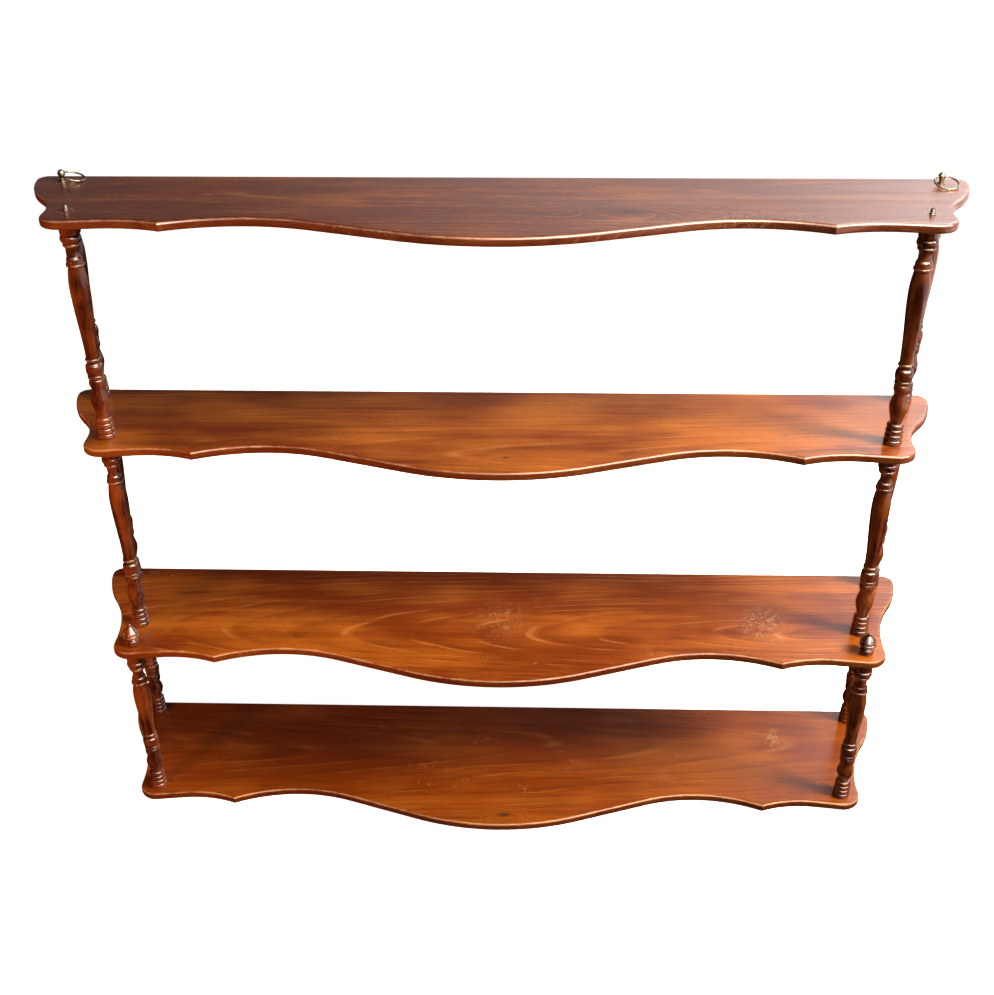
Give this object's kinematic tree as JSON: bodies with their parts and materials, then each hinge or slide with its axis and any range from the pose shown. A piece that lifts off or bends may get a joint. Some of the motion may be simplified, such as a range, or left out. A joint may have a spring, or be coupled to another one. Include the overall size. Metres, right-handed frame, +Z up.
{
  "type": "wall shelf",
  "caption": "Hanging wall shelf: scalloped wooden boards on turned corner spindles, with finials and loose hanging rings.",
  "frame": {"origin": "middle of the underside of the bottom board's box", "axes": "+X to the right along the boards, +Y towards the wall, +Z up"},
  "size_m": [0.9586, 0.2144, 0.729],
  "materials": {
    "board_wood": "worn satin varnish",
    "spindle_wood": "dark satin varnish",
    "bronze": "darkened with age",
    "steel": "dull"
  },
  "bodies": {
    "shelf": {"top_shelf": "board_wood", "second_shelf": "board_wood", "third_shelf": "board_wood", "bottom_shelf": "board_wood", "top_spindle_front_left": "spindle_wood", "top_spindle_front_right": "spindle_wood", "top_spindle_back_left": "spindle_wood", "top_spindle_back_right": "spindle_wood", "middle_spindle_front_left": "spindle_wood", "middle_spindle_front_right": "spindle_wood", "middle_spindle_back_left": "spindle_wood", "middle_spindle_back_right": "spindle_wood", "bottom_spindle_front_left": "spindle_wood", "bottom_spindle_front_right": "spindle_wood", "bottom_spindle_back_left": "spindle_wood", "bottom_spindle_back_right": "spindle_wood", "finial_left": "spindle_wood", "finial_right": "spindle_wood", "screw_eye_left": "bronze", "screw_eye_right": "bronze", "top_stud_screws": "steel", "second_shelf_screws": "steel", "third_shelf_screws": "steel", "finial_screws": "steel", "middle_foot_screws": "steel", "bottom_foot_screws": "steel"},
    "ring_left": {"hanging_ring_left": "bronze"},
    "ring_right": {"hanging_ring_right": "bronze"}
  },
  "joints": [
    {"name": "ring_left_swing", "type": "hinge", "parent": "shelf", "child": "ring_left", "pos_m": [-0.45, 0.08925, 0.725], "axis": [0, -1, 0], "range_deg": [0, 209.9]},
    {"name": "ring_right_swing", "type": "hinge", "parent": "shelf", "child": "ring_right", "pos_m": [0.45, 0.08925, 0.725], "axis": [-0.9848, -0.1736, 0], "range_deg": [0, 209.9]}
  ]
}
